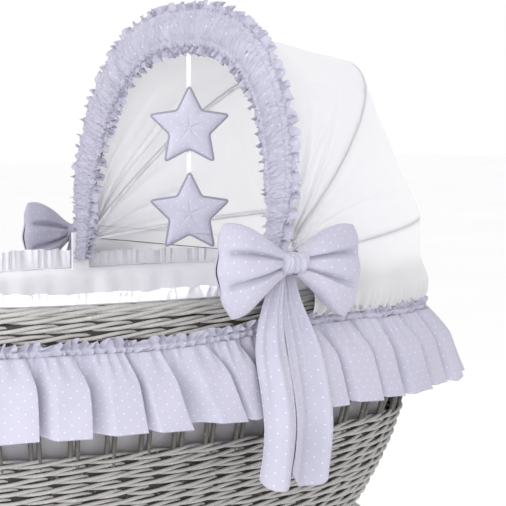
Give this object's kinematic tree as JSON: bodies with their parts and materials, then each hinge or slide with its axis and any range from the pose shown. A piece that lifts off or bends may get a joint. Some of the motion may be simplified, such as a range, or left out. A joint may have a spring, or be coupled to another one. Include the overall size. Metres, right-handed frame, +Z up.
{
  "type": "bassinet on stand",
  "caption": "Hooded oval wicker bassinet with padded liner, gathered skirt, side bows and a hanging star mobile, on a splayed wooden stand with a tray shelf and casters.",
  "frame": {"origin": "on the floor under the middle of the basket", "axes": "+Z up, +X towards the head end under the hood, +Y towards the far side"},
  "size_m": [1.03, 0.648, 1.1639],
  "materials": {
    "wicker": "satin grey-painted woven willow",
    "painted_wood": "satin grey paint",
    "white_cotton": "plain white cotton",
    "dotted_cotton": "lavender-grey cotton with tiny white dots",
    "bedding": "soft padded white cotton",
    "steel": "zinc-plated",
    "grey_plastic": "matte",
    "tyre_rubber": "matte"
  },
  "bodies": {
    "stand": {"cradle_ring": "painted_wood", "slat_head": "painted_wood", "slat_foot": "painted_wood", "side_rail_near": "painted_wood", "side_rail_far": "painted_wood", "leg_head_near": "painted_wood", "leg_head_far": "painted_wood", "leg_foot_near": "painted_wood", "leg_foot_far": "painted_wood", "shelf_bar_head": "painted_wood", "shelf_bar_foot": "painted_wood", "shelf_tray": "wicker", "caster_head_near_stem": "steel", "caster_head_far_stem": "steel", "caster_foot_near_stem": "steel", "caster_foot_far_stem": "steel"},
    "basket": {"basket_border": "wicker", "basket_upper_wall": "wicker", "basket_openwork": "wicker", "basket_lower_wall": "wicker", "basket_base": "wicker", "mattress": "bedding", "liner": "bedding", "liner_frill": "bedding", "skirt_heading": "dotted_cotton", "skirt": "dotted_cotton", "hood_bracket_near": "steel", "hood_bracket_far": "steel", "hood_rivet_near": "steel", "hood_rivet_far": "steel", "hood_hoop_rear": "steel", "hood_back": "white_cotton", "near_bow": "dotted_cotton", "near_bow_tails": "dotted_cotton", "far_bow": "dotted_cotton", "far_bow_tails": "dotted_cotton"},
    "hood_middle": {"hood_hoop_middle": "steel", "hood_rear_panel": "white_cotton"},
    "hood_front": {"hood_hoop_front": "steel", "hood_ruched_band": "dotted_cotton", "hood_front_panel": "white_cotton"},
    "mobile": {"mobile_ribbon": "bedding", "upper_star": "dotted_cotton", "lower_star": "dotted_cotton"},
    "swivel_head_near": {"caster_head_near_fork": "steel", "caster_head_near_axle": "steel"},
    "swivel_head_far": {"caster_head_far_fork": "steel", "caster_head_far_axle": "steel"},
    "swivel_foot_near": {"caster_foot_near_fork": "steel", "caster_foot_near_axle": "steel"},
    "swivel_foot_far": {"caster_foot_far_fork": "steel", "caster_foot_far_axle": "steel"},
    "wheel_head_near": {"caster_head_near_wheel": "tyre_rubber"},
    "wheel_head_far": {"caster_head_far_wheel": "tyre_rubber"},
    "wheel_foot_near": {"caster_foot_near_wheel": "tyre_rubber"},
    "wheel_foot_far": {"caster_foot_far_wheel": "tyre_rubber"},
    "pedal_foot_near": {"caster_foot_near_pedal": "grey_plastic"},
    "pedal_foot_far": {"caster_foot_far_pedal": "grey_plastic"}
  },
  "joints": [
    {"name": "basket_lift", "type": "slide", "parent": "stand", "child": "basket", "axis": [0, 0, 1], "range_m": [0, 0.3]},
    {"name": "hood_fold", "type": "hinge", "parent": "basket", "child": "hood_middle", "pos_m": [0.072, 0, 0.821], "axis": [0, 1, 0], "range_deg": [0, 25], "deforming": ["hood_rear_panel"]},
    {"name": "hood_front_fold", "type": "hinge", "parent": "hood_middle", "child": "hood_front", "pos_m": [0.072, 0, 0.821], "axis": [0, 1, 0], "range_deg": [0, 22], "deforming": ["hood_front_panel"]},
    {"name": "mobile_swing", "type": "hinge", "parent": "hood_front", "child": "mobile", "pos_m": [0.09511, -0.006, 1.10257], "axis": [0, 1, 0], "range_deg": [-50, 25]},
    {"name": "swivel_head_near_turn", "type": "hinge", "parent": "stand", "child": "swivel_head_near", "pos_m": [0.33, -0.205, 0.06], "axis": [0, 0, 1], "continuous": true},
    {"name": "swivel_head_far_turn", "type": "hinge", "parent": "stand", "child": "swivel_head_far", "pos_m": [0.33, 0.205, 0.06], "axis": [0, 0, 1], "continuous": true},
    {"name": "swivel_foot_near_turn", "type": "hinge", "parent": "stand", "child": "swivel_foot_near", "pos_m": [-0.33, -0.205, 0.06], "axis": [0, 0, 1], "continuous": true},
    {"name": "swivel_foot_far_turn", "type": "hinge", "parent": "stand", "child": "swivel_foot_far", "pos_m": [-0.33, 0.205, 0.06], "axis": [0, 0, 1], "continuous": true},
    {"name": "wheel_head_near_spin", "type": "hinge", "parent": "swivel_head_near", "child": "wheel_head_near", "pos_m": [0.35, -0.205, 0.03], "axis": [0, 1, 0], "continuous": true},
    {"name": "wheel_head_far_spin", "type": "hinge", "parent": "swivel_head_far", "child": "wheel_head_far", "pos_m": [0.35, 0.205, 0.03], "axis": [0, 1, 0], "continuous": true},
    {"name": "wheel_foot_near_spin", "type": "hinge", "parent": "swivel_foot_near", "child": "wheel_foot_near", "pos_m": [-0.35, -0.205, 0.03], "axis": [0, 1, 0], "continuous": true},
    {"name": "wheel_foot_far_spin", "type": "hinge", "parent": "swivel_foot_far", "child": "wheel_foot_far", "pos_m": [-0.35, 0.205, 0.03], "axis": [0, 1, 0], "continuous": true},
    {"name": "pedal_foot_near_press", "type": "hinge", "parent": "swivel_foot_near", "child": "pedal_foot_near", "pos_m": [-0.361, -0.205, 0.061], "axis": [0, -1, 0], "range_deg": [0, 11]},
    {"name": "pedal_foot_far_press", "type": "hinge", "parent": "swivel_foot_far", "child": "pedal_foot_far", "pos_m": [-0.361, 0.205, 0.061], "axis": [0, -1, 0], "range_deg": [0, 11]}
  ],
  "couplings": [
    {"joint": "hood_front_fold", "follows": "hood_fold", "ratio": 0.88}
  ]
}
